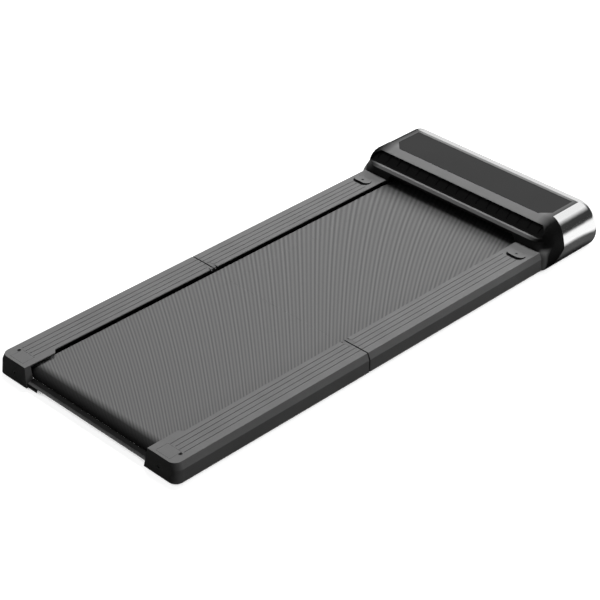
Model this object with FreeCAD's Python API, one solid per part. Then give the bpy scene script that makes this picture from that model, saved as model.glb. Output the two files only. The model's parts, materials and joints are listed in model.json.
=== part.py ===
import FreeCAD, Part
import math
import os

# A folding walking pad: a front half with the motor head and a rear half that folds up and over.
# Millimetres, +Z up, +Y towards the head, +X to the walker's right. The origin is the middle of the
# footprint at floor level. Left pieces mirror the right ones unless their comment says otherwise.

# Fits and clearances
overrun = 5.0
slip_gap = 0.3
turn_gap = 0.05
press_gap = 0.02

# Lengths along the pad
rear_length = 603.0
walk_length = 620.5
head_depth = 219.5
seam_width = 3.6

# Heights from the floor up
foot_height = 8.0
pan_thickness = 1.2
pan_belt_gap = 3.6
belt_thickness = 2.0
roller_radius = 14.3
rail_rise = 12.0

# Walking belt and running board
belt_width = 440.0
belt_edge_gap = 2.0
deck_thickness = 12.0
deck_edge_gap = 1.0
deck_roller_gap = 6.0

# Rail covers
rail_top_width = 76.5
rail_chamfer_width = 7.5
rail_chamfer_drop = 16.6
rail_wall = 2.5
rail_floor_width = 46.0
rail_edge_radius = 1.2
groove_count = 4
groove_first = 13.5
groove_pitch = 14.4
groove_width = 1.8
groove_depth = 1.2
groove_rear_stop = 51.0
groove_head_stop = 66.0
rail_head_lap = 20.0

# Closed rear corners of the rear rail covers
corner_depth = 104.0
corner_step = 19.0
corner_step_run = 16.0
corner_lean = 6.0
corner_inner_lean = 8.0
corner_radius = 20.0
corner_belt_gap = 2.5
corner_pocket_gap = 3.0
corner_screw_side = 55.0
corner_screw_inset = 42.3
corner_screw_radius = 4.8
corner_screw_sink = 1.6
corner_screw_socket = 0.9
corner_screw_shank_radius = 1.5
corner_screw_length = 12.0

# Landing pads let into the rear corners
landing_width = 44.0
landing_depth = 34.0
landing_thickness = 1.2
landing_gap = 0.5
landing_side = 7.5
landing_inset = 48.5

# Side tubes and cross members
side_tube_side_gap = 7.8
side_tube_wall = 2.0
side_tube_seat_gap = 0.3
side_tube_seam_gap = 3.0
cross_width = 28.0
cross_wall = 1.6
cross_belt_gap = 2.4
cross_seam_offset = 95.0
cross_end_offset = 60.0

# Deck cushions
cushion_height = 2.5
cushion_radius = 15.0
cushion_side_inset = 70.0

# Bottom pans
pan_seam_gap = 4.0
pan_end_gap = 12.0
pan_rim_width = 12.0

# Feet
foot_radius = 13.0
foot_top_radius = 15.0
foot_side_inset = 24.0
foot_seam_offset = 55.0
foot_rear_inset = 52.0
head_foot_side_inset = 68.5
head_foot_offset = 90.0

# Fold hinge: a link with two pins on each side
pin_depth = 4.0
pin_radius = 2.0
knuckle_radius = 3.8
link_thickness = 6.0
link_edge_gap = 0.6
link_groove_depth = 1.5
hinge_block_length = 46.0
hinge_block_width = 20.8
hinge_block_height = 16.0
hinge_head_margin = 1.2
hinge_head_sink = 0.3

# Fold buffers on the front rails
buffer_height = 4.7
buffer_length = 50.0
buffer_depth = 30.0
buffer_toe = 0.8
buffer_seat_depth = 1.6
buffer_skirt = 4.5
buffer_offset = 45.5
buffer_side = 41.0
buffer_screw_radius = 3.6
buffer_screw_head = 1.8
buffer_screw_sink = 0.8
buffer_screw_length = 5.0
buffer_screw_shank_radius = 1.8
buffer_screw_inset = 14.0

# Rollers, axles and bearings
roller_overhang = 4.0
roller_wall = 3.0
axle_radius = 6.0
bearing_width = 10.0
rear_roller_inset = 42.0
front_roller_offset = 35.0
axle_block_width = 18.0
axle_block_depth = 42.0
axle_block_margin = 6.0
axle_block_gap = 16.0
axle_slot_travel = 8.0
axle_end_margin = 2.0

# Belt tension bolts
tension_radius = 4.0
tension_head_radius = 6.5
tension_head_height = 5.0
tension_hole_radius = 3.4
tension_tip = 6.0

# Rear guard behind the belt
guard_top_gap = 1.0
guard_top_drop = 4.9
guard_drop = 5.3
guard_run = 19.0
guard_thickness = 3.0
guard_groove_offset = 13.0
guard_groove_width = 1.0
guard_groove_depth = 0.8
guard_ear_width = 30.0
guard_ear_radius = 12.0
guard_ear_foot = 3.0

# Head outline
head_bottom = 4.5
head_height = 121.0
head_side_step = 10.5
head_shoulder_height = 85.0
head_crown_trim = 0.5
head_shoulder_depth = 47.0
head_front_depth = 32.0
head_tuck = 13.0
head_front_tuck = 14.0
head_wall = 3.0
brow_rise = 27.0
apron_edge_radius = 2.0
apron_bevel_run = 4.0
apron_bevel_rise = 7.0
brow_setback = 39.5
brow_drop = 7.8
brow_radius = 14.0
crown_setback = 66.0
crown_radius = 40.0
head_rear_corner_radius = 46.0
head_heel_radius = 16.0
head_heel_drop = 12.0
head_heel_rise = 29.0
head_front_corner_radius = 18.0
head_ring_count = 10

# Vent mouth and grille
mouth_band = 9.0
mouth_sill = 3.4
mouth_lintel = 1.2
mouth_depth = 22.0
grille_sink = 7.0
grille_thickness = 3.0
grille_slot_count = 18
grille_slot_width = 7.0
grille_slot_margin = 3.0
grille_slot_depth = 2.0
grille_flange = 3.0

# Belt mouth in the apron
belt_mouth_lap = 4.0
belt_mouth_drop = 10.2
belt_mouth_radius = 16.0
tube_window_gap = 2.0

# Top panel and its rim
panel_side_inset = 55.0
panel_setback = 64.5
panel_depth = 104.5
panel_cut = 26.0
panel_thickness = 1.6
panel_sink = 0.4
panel_gap = 0.3
rim_width = 9.0
rim_side_width = 13.0

# Bright shell
shell_setback = 77.5
shell_knee_height = 44.0
shell_toe = 42.0
shell_window_drop = 20.0

# Base tray of the head
tray_thickness = 1.5
tray_edge_gap = 0.3
tray_riser_depth = 30.0

# Motor
motor_radius = 37.0
motor_length = 130.0
motor_wall = 3.0
motor_pulley_gap = 20.0
motor_front_inset = 78.0
motor_axis_height = 60.0
motor_shaft_radius = 5.0
armature_radius = 28.0
armature_gap = 14.0
saddle_length = 90.0
saddle_depth = 56.0
saddle_rise = 20.0
fan_radius = 30.0
fan_hub_radius = 9.0
fan_width = 9.0
fan_gap = 4.0
fan_blades = 8
fan_blade_thickness = 1.6
motor_tail = 18.0

# Drive from motor to roller
roller_pulley_radius = 19.0
motor_pulley_radius = 9.0
pulley_width = 14.0
pulley_gap = 1.0
drive_belt_width = 11.0
drive_belt_thickness = 1.6

# Control board, heat sink and display board
board_thickness = 1.6
board_width = 170.0
board_depth = 84.0
board_inner_x = 30.0
board_front_inset = 38.0
post_height = 9.0
post_radius = 4.0
post_inset = 7.0
capacitor_radius = 11.0
capacitor_height = 34.0
capacitor_count = 3
relay_width = 20.0
relay_depth = 16.0
relay_height = 15.0
sink_width = 80.0
sink_depth = 26.0
sink_base = 4.0
sink_height = 30.0
sink_fins = 9
sink_fin_thickness = 1.8
display_width = 140.0
display_depth = 50.0
display_drop = 5.0

# Power inlet, switch and their plate
power_x = 150.0
power_height = 46.0
plate_width = 92.0
plate_height = 34.0
plate_thickness = 3.0
plate_lip = 3.0
plate_sink = 1.7
plate_radius = 4.0
inlet_offset = 19.0
inlet_width = 29.0
inlet_height = 22.0
inlet_length = 24.0
inlet_wall = 2.4
inlet_floor = 5.0
blade_width = 2.0
blade_height = 4.0
blade_length = 12.0
blade_spacing = 7.0
blade_rise = 2.0
switch_offset = 22.0
switch_width = 16.0
switch_height = 24.0
switch_length = 20.0
switch_wall = 2.0
rocker_gap = 0.4
rocker_pivot_radius = 1.5
rocker_proud = 2.2
rocker_tilt = 7.0

# Transport wheels
wheel_radius = 14.0
wheel_width = 18.0
wheel_side_inset = 38.5
wheel_front_inset = 18.5
wheel_height = 16.0
wheel_bore_radius = 3.0
wheel_tread_radius = 2.0
wheel_gap = 1.5
fork_thickness = 3.0
fork_depth = 16.0

# Places worked out from the sizes above
overall_length = rear_length + walk_length + head_depth
rear_y = -overall_length / 2
front_y = overall_length / 2
seam_y = rear_y + rear_length
apron_y = seam_y + walk_length
half_seam = seam_width / 2

rail_bottom = foot_height
belt_low = rail_bottom + pan_thickness + pan_belt_gap
roller_z = belt_low + belt_thickness + slip_gap + roller_radius
deck_top = roller_z + roller_radius
belt_top = deck_top + slip_gap + belt_thickness
rail_top = belt_top + rail_rise

rail_inner_x = belt_width / 2 + belt_edge_gap
rail_top_x = rail_inner_x + rail_top_width
rail_outer_x = rail_top_x + rail_chamfer_width
rail_floor_x = rail_outer_x - rail_floor_width
foot_x = rail_outer_x - foot_side_inset
corner_screw_x = rail_inner_x + corner_screw_side
landing_inner_x = rail_inner_x + landing_side
buffer_x = rail_inner_x + buffer_side
cushion_x = belt_width / 2 - cushion_side_inset
roller_length = belt_width + 2 * roller_overhang
axle_block_x = roller_length / 2 + axle_block_gap

belt_inner_radius = roller_radius + slip_gap
belt_outer_radius = belt_inner_radius + belt_thickness
rear_roller_y = rear_y + rear_roller_inset
front_roller_y = apron_y + front_roller_offset
deck_bottom = deck_top - deck_thickness
cross_top = deck_bottom - cushion_height
cross_bottom = belt_low + belt_thickness + cross_belt_gap

corner_inner_x = rail_inner_x - corner_step
corner_front_y = rear_y + corner_depth
corner_pocket_y = rear_roller_y - belt_outer_radius - corner_pocket_gap

link_inner_x = rail_inner_x + link_edge_gap
link_outer_x = link_inner_x + link_thickness
block_inner_x = link_outer_x + slip_gap
side_tube_x = block_inner_x + hinge_block_width
side_tube_width = rail_outer_x - rail_wall - side_tube_side_gap - side_tube_x
side_tube_top = rail_top - rail_wall - side_tube_seat_gap
side_tube_bottom = rail_bottom + rail_wall + side_tube_seat_gap
pin_z = rail_top - pin_depth
pin_offset = pin_depth + (buffer_height + slip_gap) / 2
hinge_head_length = pin_offset + knuckle_radius + hinge_head_margin
front_tube_end = front_roller_y - axle_block_depth / 2 + slip_gap
rear_tube_end = rear_roller_y + axle_block_depth / 2
axle_end_x = axle_block_x + axle_block_width - axle_end_margin

brow_height = head_height - brow_drop
apron_height = brow_height - brow_rise
belt_mouth_height = apron_height - belt_mouth_drop
head_half = rail_outer_x + head_side_step
head_floor_half = head_half - head_tuck
head_middle = head_height + head_crown_trim - head_shoulder_height
head_foot_x = head_floor_half - head_foot_side_inset
belt_mouth_width = belt_width - 2 * belt_mouth_lap
panel_width = 2 * (head_half - panel_side_inset)
pulley_x0 = roller_length / 2 + pulley_gap
pulley_x1 = pulley_x0 + pulley_width
motor_y = front_y - motor_front_inset
motor_outer_end = pulley_x0 - motor_pulley_gap
motor_inner_end = motor_outer_end - motor_length
tray_top = head_bottom + tray_thickness
panel_y0 = apron_y + panel_setback
panel_y1 = panel_y0 + panel_depth
panel_top = head_height - panel_sink
shell_y = apron_y + shell_setback
rim_x = panel_width / 2 + rim_side_width
rim_y = panel_y1 + rim_width
plate_y1 = front_y - head_wall - plate_sink
plate_y0 = plate_y1 - plate_thickness
wheel_x = head_floor_half - wheel_side_inset
wheel_y = front_y - wheel_front_inset


def vector_xz(u, v):
    return FreeCAD.Vector(u, 0, v)


def vector_yz(u, v):
    return FreeCAD.Vector(0, u, v)


def vector_xy(u, v):
    return FreeCAD.Vector(u, v, 0)


def rounded_face(corners, place):
    """A flat face through corners (u, v, radius), each rounded by its radius."""
    edges = []
    ends = []
    count = len(corners)
    for index in range(count):
        u, v, radius = corners[index]
        before = corners[index - 1]
        after = corners[(index + 1) % count]
        back = FreeCAD.Vector(before[0] - u, before[1] - v, 0).normalize()
        ahead = FreeCAD.Vector(after[0] - u, after[1] - v, 0).normalize()
        here = FreeCAD.Vector(u, v, 0)
        if radius == 0:
            ends.append((here, None, here))
            continue
        half = back.getAngle(ahead) / 2
        reach = radius / math.tan(half)
        middle = (back + ahead).normalize()
        crown = here + middle * (radius / math.sin(half) - radius)
        ends.append((here + back * reach, crown, here + ahead * reach))
    for index in range(count):
        start, crown, stop = ends[index]
        following = ends[(index + 1) % count][0]
        if crown is not None:
            points = [place(p.x, p.y) for p in (start, crown, stop)]
            edges.append(Part.Arc(*points).toShape())
        edges.append(Part.LineSegment(place(stop.x, stop.y), place(following.x, following.y)).toShape())
    return Part.Face(Part.Wire(edges))


def plain(points):
    return [(u, v, 0) for u, v in points]


def prism_x(corners, x0, x1):
    face = rounded_face(corners, vector_yz)
    face.translate(FreeCAD.Vector(x0, 0, 0))
    return face.extrude(FreeCAD.Vector(x1 - x0, 0, 0))


def prism_y(corners, y0, y1):
    face = rounded_face(corners, vector_xz)
    face.translate(FreeCAD.Vector(0, y0, 0))
    return face.extrude(FreeCAD.Vector(0, y1 - y0, 0))


def prism_z(corners, z0, z1):
    face = rounded_face(corners, vector_xy)
    face.translate(FreeCAD.Vector(0, 0, z0))
    return face.extrude(FreeCAD.Vector(0, 0, z1 - z0))


def box(x0, x1, y0, y1, z0, z1):
    return Part.makeBox(x1 - x0, y1 - y0, z1 - z0, FreeCAD.Vector(x0, y0, z0))


def rod_x(radius, x0, x1, y, z):
    return Part.makeCylinder(radius, x1 - x0, FreeCAD.Vector(x0, y, z), FreeCAD.Vector(1, 0, 0))


def rod_y(radius, y0, y1, x, z):
    return Part.makeCylinder(radius, y1 - y0, FreeCAD.Vector(x, y0, z), FreeCAD.Vector(0, 1, 0))


def rod_z(radius, z0, z1, x, y):
    return Part.makeCylinder(radius, z1 - z0, FreeCAD.Vector(x, y, z0), FreeCAD.Vector(0, 0, 1))


def mirrored(shape):
    return shape.mirror(FreeCAD.Vector(0, 0, 0), FreeCAD.Vector(1, 0, 0))


def both(shape):
    return Part.makeCompound([mirrored(shape), shape])


def rail_levels(inset):
    """Heights of a rail's floor, chamfer foot and top, each with the outer side's x there."""
    slope = math.hypot(rail_chamfer_width, rail_chamfer_drop)
    top_shift = inset * (slope - rail_chamfer_width) / rail_chamfer_drop
    side_shift = inset * (slope - rail_chamfer_drop) / rail_chamfer_width
    return [
        (rail_bottom + inset, rail_outer_x - inset),
        (rail_top - rail_chamfer_drop - side_shift, rail_outer_x - inset),
        (rail_top - inset, rail_top_x - top_shift),
    ]


def rail_section(inner_x, inset):
    """Corners of a rail's outline in XZ, drawn in by inset except on its inner side."""
    low, middle, high = rail_levels(inset)
    edge = rail_edge_radius if inset == 0 else 0
    return [
        (inner_x, low[0], 0),
        (inner_x, high[0], edge),
        (high[1], high[0], edge),
        (middle[1], middle[0], edge),
        (low[1], low[0], edge),
    ]


def groove_cutter(y0, y1):
    cutters = []
    for index in range(groove_count):
        x = rail_inner_x + groove_first + index * groove_pitch
        bottom = rail_top - groove_depth
        cutters.append(box(x - groove_width / 2, x + groove_width / 2, y0, y1, bottom, rail_top + overrun))
    return Part.makeCompound(cutters)


def hinge_notch():
    """Opening at the fold seam for the hinge link and the heads of the hinge blocks."""
    reach = hinge_head_length + slip_gap
    low = rail_top - rail_wall - overrun
    x1 = side_tube_x + slip_gap
    return box(rail_inner_x - overrun, x1, seam_y - reach, seam_y + reach, low, rail_top + overrun)


def seam_wall(y0, y1):
    """Closes a rail's end at the fold, outside the hinge."""
    section = rail_section(side_tube_x + side_tube_width + slip_gap, rail_wall / 2)
    return prism_y(section, y0, y1)


def front_rail_cover():
    y0 = seam_y + half_seam
    y1 = apron_y + rail_head_lap
    outer = prism_y(rail_section(rail_inner_x, 0), y0, y1)
    hollow = prism_y(rail_section(rail_inner_x - overrun, rail_wall), y0 - overrun, y1 + overrun)
    floor = box(rail_inner_x - overrun, rail_floor_x, y0 - overrun, y1 + overrun,
                rail_bottom - overrun, rail_bottom + rail_wall + overrun)
    cover = outer.cut(hollow).cut(floor)
    cover = cover.fuse(seam_wall(y0, y0 + rail_wall)).removeSplitter()
    cover = cover.cut(groove_cutter(y0 - overrun, apron_y - groove_head_stop))
    cover = cover.cut(hinge_notch())
    cover = cover.cut(head_solid(-slip_gap))
    seat = prism_z(buffer_plan(buffer_skirt, slip_gap), rail_top - buffer_seat_depth, rail_top + overrun)
    screw_y = buffer_front_y() + buffer_screw_inset
    hole = rod_z(buffer_screw_shank_radius + turn_gap, rail_bottom, rail_top + overrun, buffer_x, screw_y)
    return cover.cut(seat.fuse(hole))


def corner_rise(z):
    return (z - rail_bottom) / (rail_top - rail_bottom)


def corner_inner_at(z):
    """Where the closed corner's inner side stands at height z."""
    return corner_inner_x + corner_inner_lean * corner_rise(z)


def corner_outline(z, outer_x, margin, inset):
    """Plan of the rear rail at height z; its rear face and inner side lean out towards the floor."""
    inner_x = corner_inner_at(z) - margin
    y0 = rear_y + inset + corner_lean * corner_rise(z)
    y1 = seam_y - half_seam + (overrun if inset > 0 else 0)
    face = rounded_face([(inner_x, y0, 0), (outer_x, y0, corner_radius - inset), (outer_x, y1, 0),
                         (inner_x, y1, 0)], vector_xy)
    face.translate(FreeCAD.Vector(0, 0, z))
    return face.OuterWire


def rear_rail_solid(margin, inset):
    rings = [corner_outline(z, x, margin, inset) for z, x in rail_levels(inset)]
    lower = Part.makeLoft(rings[:2], True, True)
    upper = Part.makeLoft(rings[1:], True, True)
    return lower.fuse(upper).removeSplitter()


def rear_rail_cover():
    y1 = seam_y - half_seam
    step_y = corner_front_y - corner_step_run
    plan = plain([
        (corner_inner_x, rear_y - overrun), (corner_inner_x, step_y), (rail_inner_x, corner_front_y),
        (rail_inner_x, y1), (rail_outer_x + overrun, y1), (rail_outer_x + overrun, rear_y - overrun),
    ])
    low = rail_bottom - overrun
    high = rail_top + overrun
    cover = rear_rail_solid(0, 0).common(prism_z(plan, low, high))
    low_x = corner_inner_at(low)
    high_x = corner_inner_at(high)
    inner_wall = plain([(low_x - 2 * overrun, low), (low_x + rail_wall, low),
                        (high_x + rail_wall, high), (high_x - 2 * overrun, high)])
    keep = prism_y(inner_wall, rear_y - overrun, corner_pocket_y)
    cover = cover.cut(rear_rail_solid(overrun, rail_wall).cut(keep))
    belt_space = box(corner_inner_x - overrun, rail_inner_x + rail_wall, corner_pocket_y, y1 + overrun,
                     rail_bottom - overrun, belt_top + corner_belt_gap)
    floor = box(corner_inner_x - overrun, rail_floor_x, corner_pocket_y, y1 + overrun,
                rail_bottom - overrun, rail_bottom + rail_wall + overrun)
    cover = cover.cut(belt_space).cut(floor)
    cover = cover.fuse(seam_wall(y1 - rail_wall, y1)).removeSplitter()
    cover = cover.cut(groove_cutter(rear_y + groove_rear_stop, y1 + overrun))
    cover = cover.cut(hinge_notch())
    cover = cover.cut(landing_solid(landing_gap, overrun))
    cover = cover.cut(rod_z(corner_screw_radius + turn_gap, side_tube_top, rail_top + overrun,
                            corner_screw_x, rear_y + corner_screw_inset))
    return cover.cut(rod_y(tension_hole_radius, rear_y - overrun, rear_y + corner_lean + rail_wall + overrun,
                           tension_x(), roller_z))


def landing_solid(margin, rise):
    x0 = landing_inner_x
    y1 = rear_y + landing_inset
    return box(x0 - margin, x0 + landing_width + margin, y1 - landing_depth - margin, y1 + margin,
               rail_top - landing_thickness, rail_top + rise)


def landing_pad():
    return landing_solid(0, 0)


def corner_screw():
    x = corner_screw_x
    y = rear_y + corner_screw_inset
    head = rod_z(corner_screw_radius, side_tube_top, rail_top - corner_screw_sink, x, y)
    socket_floor = rail_top - corner_screw_sink - corner_screw_socket
    socket = rod_z(corner_screw_shank_radius, socket_floor, rail_top, x, y)
    shank = rod_z(corner_screw_shank_radius, side_tube_top - corner_screw_length, side_tube_top, x, y)
    return head.cut(socket).fuse(shank)


def side_tube(y0, y1):
    x0 = side_tube_x
    x1 = x0 + side_tube_width
    wall = side_tube_wall
    outer = box(x0, x1, y0, y1, side_tube_bottom, side_tube_top)
    inner = box(x0 + wall, x1 - wall, y0 - overrun, y1 + overrun,
                side_tube_bottom + wall, side_tube_top - wall)
    return outer.cut(inner)


def front_side_tube():
    tube = side_tube(seam_y + half_seam + side_tube_seam_gap, front_tube_end)
    screw_y = buffer_front_y() + buffer_screw_inset
    low = side_tube_top - side_tube_wall - overrun
    return tube.cut(rod_z(buffer_screw_shank_radius + turn_gap, low, rail_top, buffer_x, screw_y))


def rear_side_tube():
    tube = side_tube(rear_tube_end, seam_y - half_seam - side_tube_seam_gap)
    low = side_tube_top - side_tube_wall - overrun
    return tube.cut(rod_z(corner_screw_shank_radius + turn_gap, low, rail_top, corner_screw_x,
                          rear_y + corner_screw_inset))


def cross_places(start, stop):
    return [start, (start + stop) / 2, stop]


def front_cross_places():
    return cross_places(seam_y + cross_seam_offset, front_tube_end - cross_end_offset)


def rear_cross_places():
    return cross_places(rear_tube_end + cross_end_offset, seam_y - cross_seam_offset)


def cross_members(places):
    members = []
    wall = cross_wall
    for y in places:
        y0 = y - cross_width / 2
        y1 = y + cross_width / 2
        outer = box(-side_tube_x, side_tube_x, y0, y1, cross_bottom, cross_top)
        inner = box(-side_tube_x - overrun, side_tube_x + overrun, y0 + wall, y1 - wall,
                    cross_bottom + wall, cross_top - wall)
        members.append(outer.cut(inner))
    return Part.makeCompound(members)


def deck_cushions(places):
    cushions = []
    for y in places:
        for x in (-cushion_x, cushion_x):
            cushions.append(rod_z(cushion_radius, cross_top, deck_bottom, x, y))
    return Part.makeCompound(cushions)


def deck(y0, y1):
    half = rail_inner_x - deck_edge_gap
    return box(-half, half, y0, y1, deck_bottom, deck_top)


def front_deck():
    return deck(seam_y + half_seam, front_roller_y - roller_radius - deck_roller_gap)


def rear_deck():
    return deck(rear_roller_y + roller_radius + deck_roller_gap, seam_y - half_seam)


def bottom_pan(y0, y1):
    """A flat pan whose raised rims sit under the side tubes."""
    half = rail_floor_x - slip_gap
    plate = box(-half, half, y0, y1, rail_bottom, rail_bottom + pan_thickness)
    rim = box(half - pan_rim_width, half, y0, y1, rail_bottom, side_tube_bottom)
    return plate.fuse(rim).fuse(mirrored(rim)).removeSplitter()


def front_pan():
    return bottom_pan(seam_y + pan_seam_gap, apron_y - pan_end_gap)


def rear_pan():
    return bottom_pan(rear_tube_end, seam_y - pan_seam_gap)


def foot(x, y, height):
    return Part.makeCone(foot_radius, foot_top_radius, height, FreeCAD.Vector(x, y, 0))


def front_feet():
    rail_foot = foot(foot_x, seam_y + foot_seam_offset, foot_height)
    head_foot = foot(head_foot_x, apron_y + head_foot_offset, head_bottom)
    return Part.makeCompound([mirrored(rail_foot), rail_foot, mirrored(head_foot), head_foot])


def rear_feet():
    seam_foot = foot(foot_x, seam_y - foot_seam_offset, foot_height)
    end_foot = foot(foot_x, rear_y + foot_rear_inset, foot_height)
    return Part.makeCompound([mirrored(seam_foot), seam_foot, mirrored(end_foot), end_foot])


def hinge_link():
    y0 = seam_y - pin_offset
    y1 = seam_y + pin_offset
    link = box(link_inner_x, link_outer_x, y0, y1, pin_z - knuckle_radius, pin_z + knuckle_radius)
    for y in (y0, y1):
        link = link.fuse(rod_x(knuckle_radius, link_inner_x, link_outer_x, y, pin_z))
    top = pin_z + knuckle_radius
    groove = box(link_inner_x - overrun, link_outer_x + overrun, seam_y - half_seam, seam_y + half_seam,
                 top - link_groove_depth, top + overrun)
    link = link.removeSplitter().cut(groove)
    for y in (y0, y1):
        link = link.cut(rod_x(pin_radius, link_inner_x - overrun, link_outer_x + overrun, y, pin_z))
    return link


def hinge_pins():
    pins = []
    for y in (seam_y - pin_offset, seam_y + pin_offset):
        pins.append(rod_x(pin_radius, link_inner_x, side_tube_x - slip_gap, y, pin_z))
    return pins


def hinge_block(side):
    """Steel block beside the side tube; side is 1 for the front half and -1 for the rear half."""
    low = rail_top - rail_wall - hinge_block_height
    near = seam_y + side * half_seam
    head_end = seam_y + side * hinge_head_length
    far = seam_y + side * hinge_block_length
    body = box(block_inner_x, side_tube_x, min(near, far), max(near, far), low, side_tube_top)
    head = box(block_inner_x, side_tube_x, min(near, head_end), max(near, head_end), low,
               rail_top - hinge_head_sink)
    block = body.fuse(head).removeSplitter()
    bore_y = seam_y + side * pin_offset
    return block.cut(rod_x(pin_radius + turn_gap, block_inner_x - overrun, side_tube_x - slip_gap + turn_gap,
                           bore_y, pin_z))


def buffer_front_y():
    return apron_y - buffer_offset - buffer_depth / 2


def buffer_plan(skirt, gap):
    """Outline of a fold buffer, its walker's side moved out by skirt, with a gap all round."""
    y0 = buffer_front_y() - skirt - gap
    y1 = buffer_front_y() + buffer_depth + gap
    half = buffer_length / 2 + gap
    corner = buffer_depth / 2 - slip_gap
    return [(buffer_x - half, y0, corner), (buffer_x + half, y0, corner),
            (buffer_x + half, y1, corner), (buffer_x - half, y1, corner)]


def fold_buffer():
    """A wedge that stands up on the walker's side and runs out towards the head."""
    y0 = buffer_front_y()
    y1 = y0 + buffer_depth
    half = buffer_length / 2
    seat = rail_top - buffer_seat_depth
    wedge = plain([(y0, seat), (y0, rail_top + buffer_height), (y1, rail_top + buffer_toe), (y1, seat)])
    body = prism_z(buffer_plan(0, 0), seat, rail_top + buffer_height + overrun)
    body = body.common(prism_x(wedge, buffer_x - half - overrun, buffer_x + half + overrun))
    body = body.fuse(prism_z(buffer_plan(buffer_skirt, 0), seat, rail_top))
    screw_y = y0 + buffer_screw_inset
    head_low = rail_top + buffer_screw_sink
    body = body.cut(rod_z(buffer_screw_radius + turn_gap, head_low, rail_top + overrun + buffer_height,
                          buffer_x, screw_y))
    return body.cut(rod_z(buffer_screw_shank_radius + turn_gap, rail_top - overrun, rail_top + overrun,
                          buffer_x, screw_y))


def buffer_screw():
    screw_y = buffer_front_y() + buffer_screw_inset
    low = rail_top + buffer_screw_sink
    high = low + buffer_screw_head
    head = rod_z(buffer_screw_radius, low, high, buffer_x, screw_y)
    socket = rod_z(buffer_screw_shank_radius, low + buffer_screw_sink, high + overrun, buffer_x, screw_y)
    shank = rod_z(buffer_screw_shank_radius, low - buffer_screw_length, low, buffer_x, screw_y)
    return head.cut(socket).fuse(shank)


def belt_loop(radius, seam_edge, end_y):
    """Solid from the fold seam to a roller, rounded about the roller."""
    half = belt_width / 2
    runs = box(-half, half, min(seam_edge, end_y), max(seam_edge, end_y),
               roller_z - radius, roller_z + radius)
    return runs.fuse(rod_x(radius, -half, half, end_y, roller_z)).removeSplitter()


def walking_belt(end_y, side):
    """Half of the belt loop, from the fold seam round one roller."""
    seam_edge = seam_y + side * slip_gap / 2
    outer = belt_loop(belt_outer_radius, seam_edge, end_y)
    return outer.cut(belt_loop(belt_inner_radius, seam_edge, end_y))


def front_belt():
    return walking_belt(front_roller_y, 1)


def rear_belt():
    return walking_belt(rear_roller_y, -1)


def roller(y):
    half = roller_length / 2
    tube = rod_x(roller_radius, -half, half, y, roller_z)
    return tube.cut(rod_x(roller_radius - roller_wall, -half - overrun, half + overrun, y, roller_z))


def roller_bearings(y):
    half = roller_length / 2
    outer = rod_x(roller_radius - roller_wall - press_gap, half - bearing_width, half, y, roller_z)
    bore = rod_x(axle_radius + turn_gap, half - bearing_width - overrun, half + overrun, y, roller_z)
    return both(outer.cut(bore))


def axle(y):
    return rod_x(axle_radius, -axle_end_x, axle_end_x, y, roller_z)


def tension_x():
    return axle_block_x + axle_block_width / 2


def rear_axle():
    rod = axle(rear_roller_y)
    for x in (-tension_x(), tension_x()):
        rod = rod.cut(rod_y(tension_radius, rear_roller_y - overrun - axle_radius,
                            rear_roller_y + axle_radius + overrun, x, roller_z))
    return rod


def axle_block(y0, y1):
    half = axle_radius + axle_block_margin
    return box(axle_block_x, axle_block_x + axle_block_width, y0, y1, roller_z - half, roller_z + half)


def front_axle_block():
    block = axle_block(front_tube_end, front_tube_end + axle_block_depth)
    return block.cut(rod_x(axle_radius + turn_gap, axle_block_x - overrun, axle_end_x + turn_gap,
                           front_roller_y, roller_z))


def rear_axle_block():
    """Slotted block in which the axle is drawn back by a tension bolt."""
    y0 = rear_tube_end - axle_block_depth
    block = axle_block(y0, rear_tube_end)
    reach = axle_radius + axle_slot_travel / 2
    half = axle_radius + turn_gap
    block = block.cut(box(axle_block_x - overrun, axle_end_x + turn_gap, rear_roller_y - reach,
                          rear_roller_y + reach, roller_z - half, roller_z + half))
    return block.cut(rod_y(tension_radius + turn_gap, y0 - overrun, rear_roller_y + reach + tension_tip,
                           tension_x(), roller_z))


def tension_bolt():
    y0 = rear_tube_end - axle_block_depth
    shank = rod_y(tension_radius, y0, rear_roller_y + axle_radius + tension_tip, tension_x(), roller_z)
    head = rod_y(tension_head_radius, y0 - tension_head_height, y0, tension_x(), roller_z)
    socket = rod_y(tension_radius / 2, y0 - tension_head_height - overrun, y0 - tension_head_height / 2,
                   tension_x(), roller_z)
    return shank.fuse(head).cut(socket)


def rear_guard():
    """Leaning strip behind the belt, with an ear down to floor-cover level at its left end only."""
    top_y = rear_roller_y - belt_outer_radius - guard_top_gap
    top_z = roller_z - guard_top_drop
    low_y = top_y - guard_run
    low_z = top_z - guard_drop
    back = guard_thickness
    half = corner_inner_at(low_z - back)
    strip = prism_x(plain([(top_y, top_z), (low_y, low_z), (low_y + back, low_z - back), (top_y, low_z)]),
                    -half, half)
    groove_y = top_y - guard_groove_offset
    groove_z = top_z - guard_drop * guard_groove_offset / guard_run - guard_groove_depth
    strip = strip.cut(box(-half - overrun, half + overrun, groove_y - guard_groove_width / 2,
                          groove_y + guard_groove_width / 2, groove_z, top_z + overrun))
    ear_x = -half + guard_ear_width
    ear = prism_y([(-corner_inner_x, rail_bottom, 0), (ear_x, rail_bottom, guard_ear_foot),
                   (ear_x, low_z, guard_ear_foot), (-half, low_z, 0)], low_y, low_y + back)
    web = prism_y([(ear_x - guard_ear_foot, low_z, 0), (ear_x + guard_ear_radius, low_z, 0),
                   (ear_x, low_z - guard_ear_radius, 0),
                   (ear_x - guard_ear_foot, low_z - guard_ear_radius, 0)],
                  low_y, low_y + back)
    round_off = rod_y(guard_ear_radius, low_y - overrun, low_y + back + overrun,
                      ear_x + guard_ear_radius, low_z - guard_ear_radius)
    return strip.fuse(ear).fuse(web.cut(round_off)).removeSplitter()


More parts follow.
